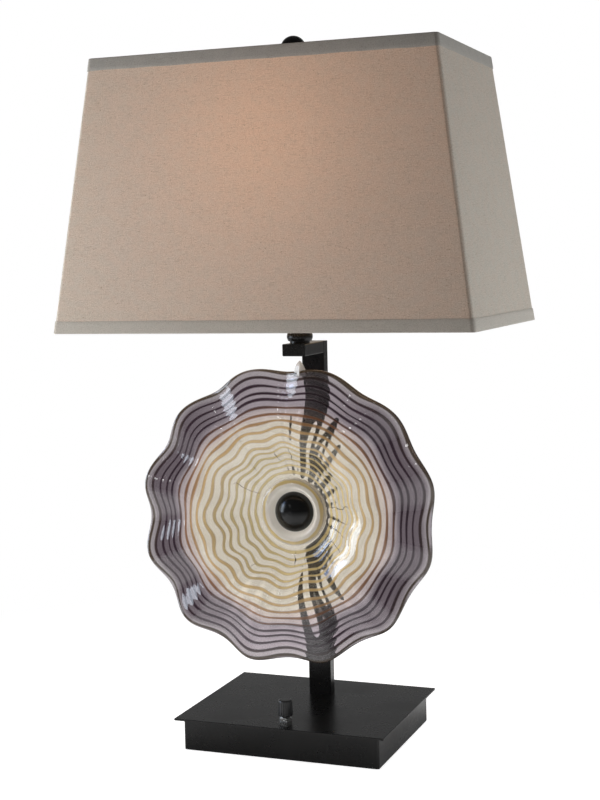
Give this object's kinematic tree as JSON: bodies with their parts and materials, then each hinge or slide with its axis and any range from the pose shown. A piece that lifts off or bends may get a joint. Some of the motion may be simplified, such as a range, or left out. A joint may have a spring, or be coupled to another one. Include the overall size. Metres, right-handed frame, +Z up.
{
  "type": "table lamp",
  "caption": "Table lamp: ruffled glass disc held on a slim post over a flat rectangular base, with a tapered rectangular fabric shade on a harp.",
  "frame": {"origin": "on the table, under the middle of the base and of the shade", "axes": "+Z up; the glass disc and the switch knob face -Y; +X to the viewer's right from the front"},
  "size_m": [0.4456, 0.2556, 0.7402],
  "materials": {
    "black_metal": "satin gloss black enamel",
    "zinc_steel": "zinc plated",
    "chrome": "polished",
    "ballast_iron": "as cast",
    "rubber": "matte",
    "switch_plastic": "moulded",
    "knob_plastic": "satin moulded",
    "harp_nickel": "nickel plated wire",
    "socket_brass": "plated shell",
    "socket_insulator": "fibre and moulded insulation",
    "bulb_cap": "satin",
    "bulb_glass": "frosted white",
    "art_glass": "hand-blown with amber and purple threads",
    "shade_linen": "linen on a stiff liner",
    "shade_tape": "folded linen tape",
    "shade_wire": "white coated wire"
  },
  "bodies": {
    "root": {"arm": "black_metal", "arm_end_cap": "black_metal", "arm_weld_nut": "zinc_steel", "ballast_screws": "zinc_steel", "ballast_weight": "ballast_iron", "base_box": "black_metal", "bottom_cover": "zinc_steel", "cord_grommet": "rubber", "cover_screws": "zinc_steel", "disc_cap": "black_metal", "disc_front_washer": "rubber", "disc_rear_washer": "rubber", "disc_rod": "zinc_steel", "disc_rod_nut": "chrome", "disc_rod_washer": "zinc_steel", "disc_standoff": "black_metal", "glass_disc": "art_glass", "harp": "harp_nickel", "harp_saddle": "harp_nickel", "harp_stud": "harp_nickel", "neck_ring": "black_metal", "neck_washer": "black_metal", "post": "black_metal", "post_cap": "black_metal", "post_foot_block": "zinc_steel", "post_screws": "zinc_steel", "rubber_feet": "rubber", "socket_body": "socket_insulator", "socket_cap": "socket_brass", "socket_contact": "socket_brass", "socket_liner": "socket_insulator", "socket_screw_shell": "socket_brass", "socket_shell": "socket_brass", "switch_body": "switch_plastic", "switch_bush": "zinc_steel", "switch_nut": "chrome", "threaded_nipple": "zinc_steel", "top_plate": "black_metal"},
    "switch": {"switch_shaft": "zinc_steel", "switch_knob": "knob_plastic"},
    "bulb": {"bulb_base": "bulb_cap", "bulb_tip": "bulb_cap", "bulb_glass": "bulb_glass"},
    "shade": {"shade_panel_front": "shade_linen", "shade_panel_back": "shade_linen", "shade_panel_left": "shade_linen", "shade_panel_right": "shade_linen", "shade_top_wire": "shade_wire", "shade_bottom_wire": "shade_wire", "shade_top_trim": "shade_tape", "shade_bottom_trim": "shade_tape", "shade_hub": "shade_wire", "spider_arms": "shade_wire"},
    "finial": {"finial": "black_metal"},
    "sleeve_left": {"harp_sleeve_left": "harp_nickel"},
    "sleeve_right": {"harp_sleeve_right": "harp_nickel"}
  },
  "joints": [
    {"name": "switch_turn", "type": "hinge", "parent": "root", "child": "switch", "pos_m": [0, -0.0655, 0.045], "axis": [0, 0, 1], "continuous": true},
    {"name": "bulb_turn", "type": "hinge", "parent": "root", "child": "bulb", "pos_m": [0, 0, 0.48], "axis": [0, 0, 1], "continuous": true},
    {"name": "shade_turn", "type": "hinge", "parent": "root", "child": "shade", "pos_m": [0, 0, 0.69], "axis": [0, 0, 1], "continuous": true},
    {"name": "finial_turn", "type": "hinge", "parent": "root", "child": "finial", "pos_m": [0, 0, 0.7], "axis": [0, 0, 1], "continuous": true},
    {"name": "harp_sleeve_left_slide", "type": "slide", "parent": "root", "child": "sleeve_left", "axis": [0, 0, 1], "range_m": [0, 0.012]},
    {"name": "harp_sleeve_right_slide", "type": "slide", "parent": "root", "child": "sleeve_right", "axis": [0, 0, 1], "range_m": [0, 0.012]}
  ]
}
